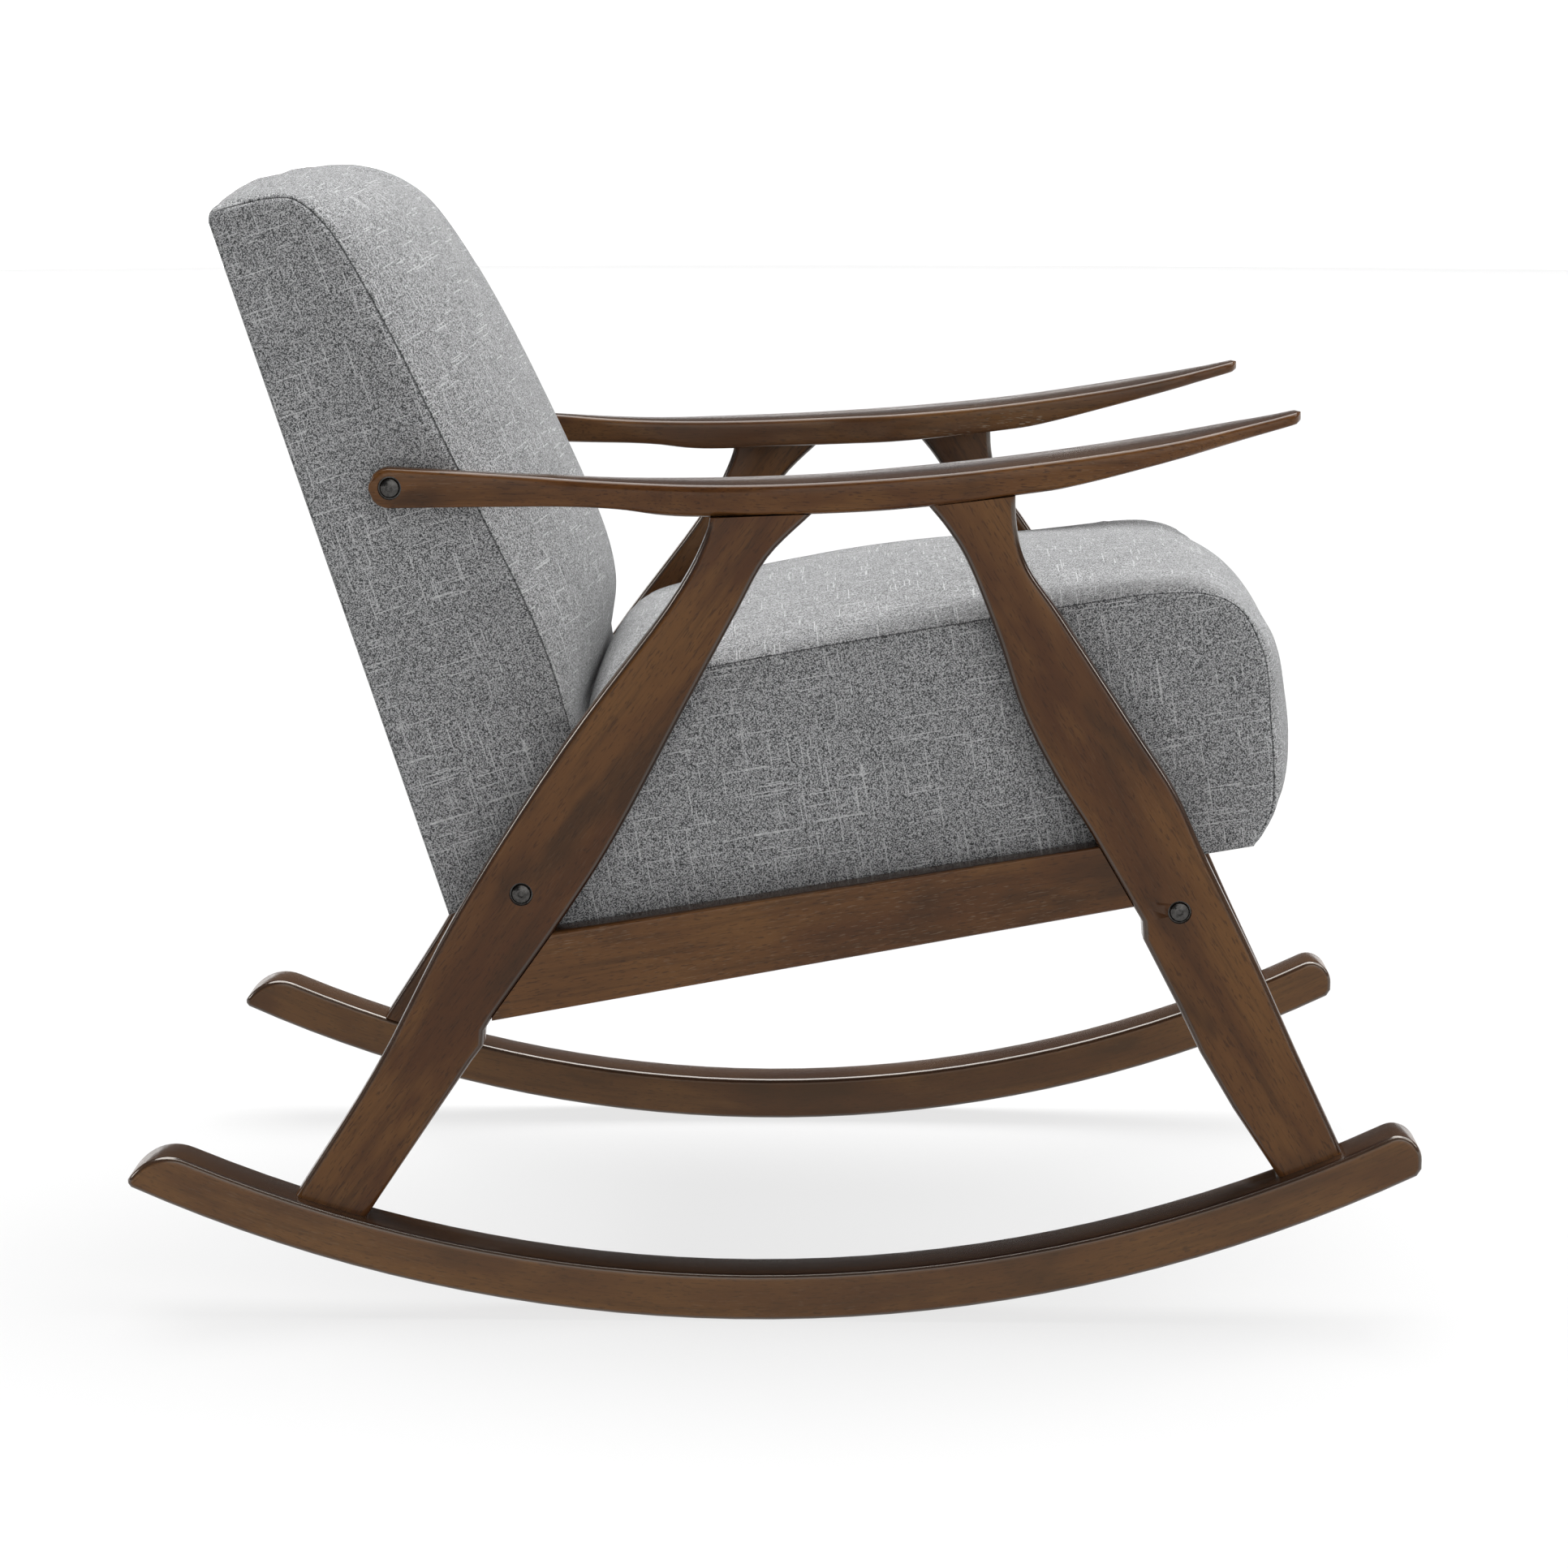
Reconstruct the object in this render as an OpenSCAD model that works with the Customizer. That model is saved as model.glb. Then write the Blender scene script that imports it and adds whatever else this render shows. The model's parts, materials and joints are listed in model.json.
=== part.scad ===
// Upholstered rocking chair with two flat side frames, a boxed seat and a boxed back.
// Millimetres. +X is the sitter's left, -Y is the front, +Z is up.
// The origin is on the floor, under the middle of the chair's bounding box.
// Side outlines are lists of [forward, up], measured from the line where the runners touch the floor.

/* [Rockers] */
// Radius of the curve that rolls on the floor
runner_radius = 1160; // [1050:10:1300]
// Height of the rocker bar, square to its curve
runner_height = 37; // [30:1:42]
// Width of the rocker bar
runner_width = 46; // [40:1:50]
// Reach of the rocker in front of the contact line
front_reach = 514; // [508:1:520]
// Reach of the rocker behind the contact line
rear_reach = 482; // [476:1:490]

/* [Side frames] */
// Half the clear width between the two side frames
inner_plane = 270; // [268:1:280]
// Thickness of the legs
leg_t = 32; // [28:1:36]
// Thickness of the side rails
rail_t = 28; // [24:1:30]
// Thickness of the flat rear end of an arm
arm_plate_t = 20; // [18:1:22]
// How far the arm stands out past the inner plane at its widest
arm_overhang = 40; // [38:1:44]

/* [Upholstery] */
// Thickness of the fabric with its wadding
cover_t = 3; // [2:0.5:3]
// Forward slope of the seat
seat_tilt = 9.8; // [9.4:0.2:10.2]
// Height of the side panel of the seat
seat_height = 211; // [205:1:215]
// How far the seat rises between its side seams
seat_crown = 21; // [14:1:24]
// Backward lean of the rear face of the back
back_lean = 18; // [17.6:0.2:18.4]
// How far the front of the back swells between its side seams
back_crown = 45; // [30:1:48]

/* [Fasteners] */
// Thread diameter of the frame bolts
bolt_d = 8; // [6:1:8]
// Head diameter of the frame bolts
bolt_head_d = 15.5; // [14:0.5:15.5]
// Height of the domed bolt heads
bolt_head_h = 4; // [3.6:0.2:4.6]
// Diameter of the counterbores
counterbore_d = 18; // [17:0.5:18]
// Depth of the counterbores
counterbore_h = 4.5; // [4:0.5:6]
// Diameter of the wooden dowels
dowel_d = 8; // [6:1:10]

/* [Hidden] */
SIDES = ["right", "left"];

long = 2000;
round_fn = 48;
runner_fn = 720;
wood = [0.33, 0.22, 0.16];
pale_wood = [0.80, 0.66, 0.46];
fabric = [0.55, 0.56, 0.57];
foam_colour = [0.93, 0.90, 0.74];
black_cloth = [0.12, 0.12, 0.13];
steel = [0.62, 0.63, 0.65];
gunmetal = [0.20, 0.20, 0.21];

// The middle of the chair's depth, forward of the contact line
middle = (front_reach - rear_reach) / 2;
top_radius = runner_radius - runner_height;
leg_outer = inner_plane + leg_t;
rail_inner = inner_plane + 1;
arm_plate_inner = inner_plane - 21;
arm_plate_outer = arm_plate_inner + arm_plate_t;
seat_half = inner_plane - 2;
back_half = arm_plate_inner - 1;

// Frame bolts, in side view
front_bolt = [326, 322];
rear_bolt = [-176, 334];
arm_bolt = [-275, 641];

// ---- curve helpers ----
function bezier(p, n) = [for (i = [0 : n]) let (t = i / n, s = 1 - t)
  s * s * s * p[0] + 3 * s * s * t * p[1] + 3 * s * t * t * p[2] + t * t * t * p[3]];
function span(a, b, c, d, t) = 0.5 * (2 * b + t * (c - a) + t * t * (2 * a - 5 * b + 4 * c - d)
  + t * t * t * (3 * b - a - 3 * c + d));
// A smooth curve through every point of p, with n steps between two points
function curve(p, n = 5) = let (m = len(p) - 1) concat(
  [for (i = [0 : m - 1], k = [0 : n - 1])
    span(p[max(i - 1, 0)], p[i], p[i + 1], p[min(i + 2, m)], k / n)],
  [p[m]]);
function unit(v) = v / norm(v);
function turn(a, b) = atan2(a.x * b.y - a.y * b.x, a * b);
// One corner of a polygon, rounded to radius r between its neighbours a and c
function corner(a, b, c, r, n) = let (
    u = unit(b - a), w = unit(c - b), k = turn(u, w), s = sign(k),
    back = r * tan(abs(k) / 2), start = b - u * back, centre = start + s * r * [-u.y, u.x])
  [for (i = [0 : n]) let (q = k * i / n)
    centre + s * r * [u.y * cos(q) + u.x * sin(q), -u.x * cos(q) + u.y * sin(q)]];
// A polygon of [x, y, radius] corners
function rounded(p, n = 8) = let (m = len(p)) [for (i = [0 : m - 1]) let (
    a = p[(i + m - 1) % m], b = p[i], c = p[(i + 1) % m])
  each (b.z > 0 ? corner([a.x, a.y], [b.x, b.y], [c.x, c.y], b.z, n) : [[b.x, b.y]])];
function arc(centre, r, from, to, n = 12) =
  [for (i = [0 : n]) let (q = from + (to - from) * i / n) centre + r * [cos(q), sin(q)]];

// ---- placing ----
// Stands a side outline up and gives it a thickness from x0 outwards, on the +X side
module slab(x0, t) {
  translate([x0 + t, middle, 0]) rotate([90, 0, -90]) linear_extrude(t) children();
}
// A round bar along X through a point of the side view
module cross_bar(p, d, x0, length) {
  translate([x0, middle - p.x, p.y]) rotate([0, 90, 0]) cylinder(d = d, h = length, $fn = round_fn);
}
// A round bar that lies in the side view, from p at an angle above the forward direction
module side_bar(p, angle, d, from, to, x) {
  translate([x, middle - p.x, p.y]) rotate([90 - angle, 0, 0])
    translate([0, 0, from]) cylinder(d = d, h = to - from, $fn = round_fn);
}
module on_side(side) {
  if (side == "left") children();
  else mirror([1, 0, 0]) children();
}
module both_sides() {
  for (side = SIDES) on_side(side) children();
}

// ---- rockers ----
function on_top(u) = [u, runner_radius - sqrt(top_radius * top_radius - u * u)];
function top_slope(u) = asin(u / top_radius);
rear_start = on_top(-rear_reach + 46);
rear_rise = top_slope(-rear_reach + 46);
front_start = on_top(front_reach - 26);
front_rise = top_slope(front_reach - 26);
rear_nose = bezier([rear_start, rear_start - 22 * [cos(rear_rise), sin(rear_rise)],
  [-rear_reach + 9, 123], [-rear_reach, 110]], 12);
front_nose = bezier([[front_reach, 131], [front_reach, 144],
  front_start + 14 * [cos(front_rise), sin(front_rise)], front_start], 12);
rocker_blank = concat(rear_nose,
  [[-rear_reach, 107], [-rear_reach + 5, 100], [-rear_reach + 5, -20], [front_reach - 5, -20],
   [front_reach - 5, 116], [front_reach, 124]],
  front_nose, [[front_start.x, 400], [rear_start.x, 400]]);

module runner_disc(r) {
  translate([0, middle, runner_radius]) rotate([0, 90, 0])
    cylinder(r = r, h = long, center = true, $fn = runner_fn);
}
module rocker() {
  color(wood) difference() {
    intersection() {
      slab(inner_plane, runner_width) polygon(rocker_blank);
      runner_disc(runner_radius);
    }
    runner_disc(top_radius);
    foot_dowel_row();
  }
}

// ---- legs ----
rear_leg_back = [[-373, 60], [-355, 93], [-291, 195], [-227, 317], [-145, 446], [-64, 555], [-35, 608],
  [-29, 640]];
rear_leg_front = [[60, 640], [45, 625], [12, 592], [-12, 549], [-52, 475], [-102, 381], [-140, 321],
  [-200, 236]];
rear_leg_knee = [[-206, 226], [-207, 214], [-216, 202], [-311, 60]];
front_leg_back = [[118, 650], [130, 635], [148, 613], [164, 586], [186, 531], [205, 475], [230, 426],
  [258, 382], [292, 324]];
front_leg_knee = [[298, 314], [299, 300], [325, 250], [344, 211], [370, 167], [430, 77]];
front_leg_front = [[478, 80], [454, 135], [418, 212], [386, 282], [345, 365], [322, 414], [290, 463],
  [234, 548], [208, 586], [199, 618], [198, 650]];

module rear_leg_outline() {
  polygon(concat(curve(rear_leg_back), curve(rear_leg_front), rear_leg_knee));
}
module front_leg_outline() {
  polygon(concat(curve(front_leg_back), front_leg_knee, curve(front_leg_front)));
}
// A leg stands on the rocker's top curve and ends under the arm
module leg_blank(t) {
  difference() {
    intersection() {
      slab(inner_plane, t) children();
      runner_disc(top_radius);
    }
    above_the_underside();
  }
}
module rear_leg() {
  color(wood) difference() {
    leg_blank(leg_t) rear_leg_outline();
    foot_dowel_row();
    arm_dowel_row();
    rail_dowel_row();
    bolt_bore(rear_bolt, leg_outer);
  }
}
module front_leg() {
  color(wood) difference() {
    leg_blank(leg_t) front_leg_outline();
    foot_dowel_row();
    arm_dowel_row();
    rail_dowel_row();
    bolt_bore(front_bolt, leg_outer);
  }
}

// ---- side rail ----
rail_top = [[-230, 291.4], [330, 382.8]];
rail_bottom = [[330, 332], [-230, 227.6]];
rail_angle = 9.9;
rear_rail_joint = [-172, 274];
front_rail_joint = [276, 350];
module side_rail() {
  color(wood) difference() {
    slab(rail_inner, rail_t) polygon(concat(rail_top, rail_bottom));
    slab(inner_plane - 1, rail_t + 2) rear_leg_outline();
    slab(inner_plane - 1, rail_t + 2) front_leg_outline();
    slab(inner_plane - 1, rail_t + 2) polygon([[-300, 200], [-300, 400], [-200, 400], [-200, 200]]);
    slab(inner_plane - 1, rail_t + 2) polygon([[300, 200], [300, 420], [400, 420], [400, 200]]);
    rail_dowel_row();
  }
}

// ---- arms ----
arm_end_r = 15.5;
arm_tip = 414;
arm_top = [[-276, 656.5], [-190, 651.5], [-100, 647], [0, 647.8], [106, 653.5], [206, 663.3],
  [306, 678], [380, 692.5], [arm_tip, 700.5]];
arm_underside = curve([[arm_tip, 691.5], [380, 682.5], [306, 663], [244, 647], [206, 640.5], [106, 629],
  [6, 624], [-60, 622], [-104, 626], [-160, 627], [-276, 625.5]]);
arm_side = concat(curve(arm_top), arm_underside, arc([-276, 641], arm_end_r, 270, 90));
arm_outer = inner_plane + arm_overhang;
arm_plan_outer = [[-300, arm_plate_outer], [-190, arm_plate_outer], [-144, arm_plate_outer + 3],
  [-94, arm_outer - 29], [-44, arm_outer - 13], [6, arm_outer - 4], [56, arm_outer - 1], [106, arm_outer],
  [156, arm_outer - 1], [206, arm_outer - 6], [306, arm_outer - 9], [356, arm_outer - 24],
  [376, arm_outer - 31]];
arm_nose = rounded([[376, arm_outer - 31, 0], [arm_tip, arm_outer - 42, 15], [arm_tip, 242, 15],
  [376, 230, 0]]);
arm_plan_inner = [[376, 230], [356, 222], [306, 216], [206, 216], [156, 220], [106, 226], [56, 236],
  [-44, 236], [-144, 238], [-175, 245], [-200, arm_plate_inner], [-300, arm_plate_inner]];
arm_plan = concat(curve(arm_plan_outer, 3), arm_nose, curve(arm_plan_inner, 3));

module arm_side_body() {
  slab(200, 120) polygon(arm_side);
}
module above_the_underside() {
  slab(200, 120) polygon(concat(arm_underside, [[-276, 900], [arm_tip, 900]]));
}
module arm() {
  color(wood) difference() {
    intersection() {
      arm_side_body();
      translate([0, middle, 500]) linear_extrude(300) polygon([for (p = arm_plan) [p.y, -p.x]]);
    }
    arm_dowel_row();
    bolt_bore(arm_bolt, arm_plate_outer);
  }
}

// ---- dowels ----
leg_middle = inner_plane + leg_t / 2;
foot_dowel_places = [-338, -312, 418, 442];
foot_dowel_half = 20;
module foot_dowel_row() {
  for (u = foot_dowel_places)
    side_bar(on_top(u), 90 + top_slope(u), dowel_d, -foot_dowel_half, foot_dowel_half, leg_middle);
}
arm_dowel_places = [[-18, 623], [13, 624], [160, 634], [184, 637]];
module arm_dowel_row() {
  for (p = arm_dowel_places) side_bar(p, 90, dowel_d, -24, 14, leg_middle - 4);
}
rail_dowel_offset = 13;
module rail_dowel_row() {
  for (joint = [rear_rail_joint, front_rail_joint], k = [-1, 1])
    side_bar(joint + k * rail_dowel_offset * [-sin(rail_angle), cos(rail_angle)], rail_angle, dowel_d,
      -22, 22, rail_inner + rail_t / 2);
}

// ---- frame bolts, washers and inserts ----
washer_h = 1;
bolt_play = 0.2;
module bolt_bore(p, outer) {
  cross_bar(p, bolt_d, inner_plane - 60, 160);
  cross_bar(p, counterbore_d, outer - counterbore_h, 50);
}
// Domed head with a hexagon socket, and a shank that runs towards the middle of the chair
module bolt(p, outer, tip) {
  face = outer - counterbore_h + washer_h;
  rim = bolt_head_h / 3;
  dome = [for (i = [0 : 6]) let (q = 15 * i)
    [bolt_head_d / 2 * cos(q), rim + (bolt_head_h - rim) * sin(q)]];
  shank_r = (bolt_d - bolt_play) / 2;
  translate([face, middle - p.x, p.y]) rotate([0, 90, 0]) difference() {
    rotate_extrude($fn = round_fn) polygon(concat(
      [[0, tip - face], [shank_r, tip - face], [shank_r, 0], [bolt_head_d / 2, 0]], dome));
    translate([0, 0, bolt_head_h - 3]) cylinder(d = 5.8, h = 10, $fn = 6);
  }
}
module washer(p, outer) {
  difference() {
    cross_bar(p, counterbore_d - 0.6, outer - counterbore_h, washer_h);
    cross_bar(p, bolt_d, outer - 50, 100);
  }
}
insert_d = 12;
insert_length = 17;
module insert(p, mouth) {
  difference() {
    cross_bar(p, insert_d, mouth - insert_length, insert_length);
    cross_bar(p, bolt_d, mouth - 60, 120);
  }
}
module insert_hole(p, mouth) {
  cross_bar(p, insert_d, mouth - insert_length, insert_length + 40);
  cross_bar(p, bolt_d, mouth - 40, 60);
}

// ---- seat ----
// The seat's own frame: its origin is at the bottom of the side panel, tilted up to the front
module in_seat() {
  translate([0, middle - 6, 300]) rotate([-seat_tilt, 0, 0]) children();
}
function area(p) = let (m = len(p)) [for (i = [0 : m - 1]) p[i].x * p[(i + 1) % m].y
  - p[(i + 1) % m].x * p[i].y] * [for (i = [0 : m - 1]) 0.5];
// A convex outline moved inwards by d
function inset(p, d) = let (m = len(p), s = sign(area(p))) [for (i = [0 : m - 1]) let (
    u = unit(p[i] - p[(i + m - 1) % m]), w = unit(p[(i + 1) % m] - p[i]),
    a = s * [-u.y, u.x], b = s * [-w.y, w.x]) p[i] + d * (a + b) / (1 + a * b)];
function reach(p, angle) = max([for (q = p) q * [cos(angle), sin(angle)]]);
module side_panel(half) {
  translate([half, 0, 0]) rotate([90, 0, -90]) linear_extrude(2 * half) children();
}
crown_power = 2.4;
// Cuts a cushion back to a surface that swells from the side outline to the middle one, facing one way
module swollen_face(side, middle_outline, angle, half, d, n = 12) {
  low = reach(side, angle) - d;
  crown = reach(middle_outline, angle) - reach(side, angle);
  w = half - d;
  rotate([-angle, 0, 0]) translate([0, 0, -long / 2]) linear_extrude(long) polygon(concat(
    [for (i = [-n : n]) [w * i / n, -low - crown * (1 - pow(abs(i / n), crown_power))]],
    [[w, long / 2], [-w, long / 2]]));
}
seat_step = [[-116, 150], [-124, 128], [-140, 104], [-200, 74]];
seat_side = concat([[-200, 0], [384, 0], [404, 26], [411, 61], [414, 98], [417, 130], [415, 155],
  [403, 186], [376, seat_height - 8], [330, seat_height - 1], [200, seat_height], [-40, seat_height - 3],
  [-85, 200], [-108, 178]], seat_step);
seat_top = seat_height + seat_crown;
seat_middle = concat([[-200, 0], [392, 0], [420, 20], [435, 61], [438, 98], [434, 132], [423, 160],
  [407, 183], [384, 203], [340, seat_top - 13], [288, seat_top - 6], [200, seat_top - 2],
  [135, seat_top], [70, seat_top - 2], [-40, seat_top - 8], [-82, seat_top - 18], [-106, 188]], seat_step);
seat_faces = [-38, -11, 4, 21, 40, 58, 78, 90, 101, 134];
// The boxed seat, crowned on the top and at the front, moved inwards by d
module seat_block(d) {
  intersection() {
    side_panel(seat_half - d) polygon(inset(seat_middle, d));
    intersection_for(angle = seat_faces)
      swollen_face(seat_side, seat_middle, angle, seat_half, d);
  }
}
// A box in the seat's frame: across, forward and up
module seat_bar(x, forward, up) {
  translate([x[0], -forward[1], up[0]]) cube([x[1] - x[0], forward[1] - forward[0], up[1] - up[0]]);
}
frame_top = 62;
frame_low = 4;
frame_out = seat_half - cover_t - 0.5;
seat_rail_in = 240;
seat_rail_outline = [[-196, frame_low], [384, frame_low], [384, frame_top], [-132, frame_top],
  [-148, 82], [-184, 74], [-196, 66]];
module seat_slab(x0, t) {
  in_seat() translate([x0 + t, 0, 0]) rotate([90, 0, -90]) linear_extrude(t) children();
}
module seat_side_rail() {
  color(pale_wood) difference() {
    seat_slab(seat_rail_in, frame_out - seat_rail_in) polygon(seat_rail_outline);
    insert_hole(rear_bolt, frame_out);
  }
}
front_rail = [362, 384];
rear_rail = [-196, -152];
module seat_front_rail() {
  color(pale_wood) in_seat() seat_bar([-seat_rail_in, seat_rail_in], front_rail, [frame_low, frame_top]);
}
module seat_rear_rail() {
  color(pale_wood) difference() {
    in_seat() seat_bar([-seat_rail_in, seat_rail_in], rear_rail, [frame_low, frame_top]);
    back_screw_holes();
  }
}
block_leg = 80;
module corner_block(forward, direction) {
  translate([0, 0, frame_low]) linear_extrude(50) polygon([[seat_rail_in, -forward],
    [seat_rail_in - block_leg, -forward], [seat_rail_in, -forward + direction * block_leg]]);
}
stretcher_screw_x = 226;
stretcher_middle = 320;
module seat_corner_blocks() {
  color(pale_wood) both_sides() in_seat() {
    corner_block(rear_rail[1], -1);
    difference() {
      corner_block(front_rail[0], 1);
      stretcher_screw_hole();
    }
  }
}
strap_w = 60;
strap_t = 1.8;
foam_gap = 0.3;
module seat_webbing() {
  color(black_cloth) in_seat() {
    for (x = [-180 : 90 : 180])
      seat_bar([x - strap_w / 2, x + strap_w / 2], [rear_rail[0], front_rail[1]],
        [frame_top, frame_top + strap_t]);
    for (forward = [-90 : 95 : 290])
      seat_bar([-frame_out, frame_out], [forward - strap_w / 2, forward + strap_w / 2],
        [frame_top + strap_t + foam_gap, frame_top + 2 * strap_t + foam_gap]);
  }
}
foam_base = frame_top + 2 * strap_t + 2 * foam_gap;
module seat_foam() {
  color(foam_colour) difference() {
    in_seat() seat_block(cover_t + foam_gap);
    in_seat() seat_bar([-300, 300], [-300, front_rail[1] + 1], [-50, foam_base]);
    both_sides() in_seat() seat_bar([seat_rail_in - 1, 300], [-300, -125], [0, 84]);
    back_screw_holes();
  }
}
module seat_cover() {
  color(fabric) difference() {
    in_seat() difference() {
      seat_block(0);
      seat_block(cover_t);
      seat_bar([-232, 232], [-140, 345], [-50, cover_t + 1]);
    }
    both_sides() cross_bar(rear_bolt, bolt_d + 1, seat_half - 20, 40);
    back_screw_holes();
  }
}
module seat_dust_cover() {
  color(black_cloth) difference() {
    in_seat() seat_bar([-252, 252], [-184, 372], [-1.2, -0.2]);
    both_sides() in_seat() stretcher_screw_hole();
  }
}

// ---- stretcher under the front of the seat ----
screw_d = 5;
screw_head_d = 10;
stretcher_low = -52;
stretcher_top = -2;
stretcher_out = inner_plane - 0.5;
module stretcher_screw_hole() {
  translate([stretcher_screw_x, -stretcher_middle, -100]) cylinder(d = screw_d, h = 150, $fn = round_fn);
  translate([stretcher_screw_x, -stretcher_middle, stretcher_low - 1])
    cylinder(d = screw_head_d, h = 16, $fn = round_fn);
}
module front_stretcher() {
  color(wood) difference() {
    in_seat() seat_bar([-stretcher_out, stretcher_out], [stretcher_middle - 20, stretcher_middle + 20],
      [stretcher_low, stretcher_top]);
    both_sides() {
      in_seat() stretcher_screw_hole();
      insert_hole(front_bolt, stretcher_out);
    }
  }
}
module stretcher_screws() {
  color(steel) both_sides() in_seat() translate([stretcher_screw_x, -stretcher_middle, 0]) {
    translate([0, 0, stretcher_low + 11]) cylinder(d = screw_head_d - 0.6, h = 4, $fn = round_fn);
    translate([0, 0, stretcher_low + 12]) cylinder(d = screw_d - 0.2, h = 85, $fn = round_fn);
  }
}

// ---- back ----
// The back's own frame: its origin is at the bottom of the rear face, leaning backwards
module in_back() {
  translate([0, middle + 236, 305]) rotate([-back_lean, 0, 0]) children();
}
back_height = 569;
back_side = [[0, 0], [150, 0], [150, 60], [139, 120], [138, 185], [133, 235], [119, 330], [106, 427],
  [92, 505], [81, 540], [66, 561], [45, 568], [22, back_height], [0, back_height - 3]];
back_middle = [[0, 0], [150, 0], [150, 60], [160, 120], [175, 185], [133 + back_crown, 240],
  [122 + back_crown, 345], [107 + back_crown, 440], [87 + back_crown, 515], [112, 548], [85, 569],
  [52, 580], [24, 583], [0, 578]];
back_faces = [1.5, 6, 8.5, 12, 18, 36, 56, 72, 90];
pocket_gap = 1.5;
// The boxed back, swollen at the front and on the top, cut away round the seat, and moved inwards by d
module back_block(d) {
  difference() {
    in_back() intersection() {
      side_panel(back_half - d) polygon(inset(back_middle, d));
      intersection_for(angle = back_faces)
        swollen_face(back_side, back_middle, angle, back_half, d);
    }
    seat_pocket(pocket_gap + d);
  }
}
module seat_pocket(gap) {
  in_seat() side_panel(seat_half + 20) polygon(inset(seat_middle, -gap));
}
stile_outline = [[3.6, 6], [104, 6], [104, 150], [88, 200], [88, 440], [68, 545], [3.6, 545]];
stile_in = back_half - cover_t - 22.5;
stile_out = back_half - cover_t - 0.3;
module back_slab(x0, t) {
  in_back() translate([x0 + t, 0, 0]) rotate([90, 0, -90]) linear_extrude(t) children();
}
// A box in the back's frame: across, forward and up
module back_bar(x, forward, up) {
  in_back() translate([x[0], -forward[1], up[0]])
    cube([x[1] - x[0], forward[1] - forward[0], up[1] - up[0]]);
}
module back_stile() {
  color(pale_wood) difference() {
    back_slab(stile_in, stile_out - stile_in) polygon(stile_outline);
    seat_pocket(pocket_gap + cover_t + foam_gap);
    insert_hole(arm_bolt, stile_out);
    back_screw_holes();
  }
}
module back_top_rail() {
  color(pale_wood) back_bar([-stile_in, stile_in], [3.6, 36], [485, 545]);
}
module back_bottom_rail() {
  color(pale_wood) back_bar([-stile_in, stile_in], [3.6, 28], [6, 66]);
}
module back_webbing() {
  color(black_cloth) for (up = [215 : 70 : 425])
    back_bar([-stile_out, stile_out], [88, 88 + strap_t], [up, up + 40]);
}
foam_rear = 88 + strap_t + foam_gap;
foam_bed = [[-20, -20], [106, -20], [106, 150], [foam_rear, 203], [foam_rear, 442], [71, 547.5],
  [-20, 547.5]];
module back_foam() {
  color(foam_colour) difference() {
    back_block(cover_t + foam_gap);
    back_slab(-300, 600) polygon(foam_bed);
    back_screw_holes();
  }
}
module back_cover() {
  color(fabric) difference() {
    back_block(0);
    back_block(cover_t);
    both_sides() cross_bar(arm_bolt, bolt_d + 1, back_half - 20, 40);
    back_screw_holes();
  }
}
// Long screws that stand up through the seat's rear rail into the feet of the stiles
back_screw_x = 232;
back_screw_places = [-184, -162];
back_screw_tip = 135;
module back_screw_row(d, head_d, head_low) {
  both_sides() in_seat() for (forward = back_screw_places) translate([back_screw_x, -forward, 0]) {
    translate([0, 0, head_low]) cylinder(d = head_d, h = 8 - head_low, $fn = round_fn);
    translate([0, 0, 7]) cylinder(d = d, h = back_screw_tip - 7, $fn = round_fn);
  }
}
module back_screw_holes() {
  back_screw_row(screw_d, screw_head_d, frame_low - 0.5);
}
module back_screws() {
  color(steel) back_screw_row(screw_d - 0.2, screw_head_d - 0.6, frame_low + 0.5);
}

// ---- fasteners as drawn ----
module foot_dowels() {
  color(pale_wood) both_sides() foot_dowel_row();
}
module arm_dowels() {
  color(pale_wood) both_sides() arm_dowel_row();
}
module rail_dowels() {
  color(pale_wood) both_sides() rail_dowel_row();
}
module front_bolts() {
  color(gunmetal) both_sides() bolt(front_bolt, leg_outer, inner_plane - 16);
}
module rear_bolts() {
  color(gunmetal) both_sides() bolt(rear_bolt, leg_outer, inner_plane - 17);
}
module arm_bolts() {
  color(gunmetal) both_sides() bolt(arm_bolt, arm_plate_outer, stile_out - 15);
}
module bolt_washers() {
  color(gunmetal) both_sides() {
    washer(front_bolt, leg_outer);
    washer(rear_bolt, leg_outer);
    washer(arm_bolt, arm_plate_outer);
  }
}
module threaded_inserts() {
  color(steel) both_sides() {
    insert(front_bolt, stretcher_out);
    insert(rear_bolt, frame_out);
    insert(arm_bolt, stile_out);
  }
}

// ---- left and right copies ----
module rocker_right() {
  on_side("right") rocker();
}
module rocker_left() {
  on_side("left") rocker();
}
module rear_leg_right() {
  on_side("right") rear_leg();
}
module rear_leg_left() {
  on_side("left") rear_leg();
}
module front_leg_right() {
  on_side("right") front_leg();
}
module front_leg_left() {
  on_side("left") front_leg();
}
module side_rail_right() {
  on_side("right") side_rail();
}
module side_rail_left() {
  on_side("left") side_rail();
}
module arm_right() {
  on_side("right") arm();
}
module arm_left() {
  on_side("left") arm();
}
module seat_side_rail_right() {
  on_side("right") seat_side_rail();
}
module seat_side_rail_left() {
  on_side("left") seat_side_rail();
}
module back_stile_right() {
  on_side("right") back_stile();
}
module back_stile_left() {
  on_side("left") back_stile();
}

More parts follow.
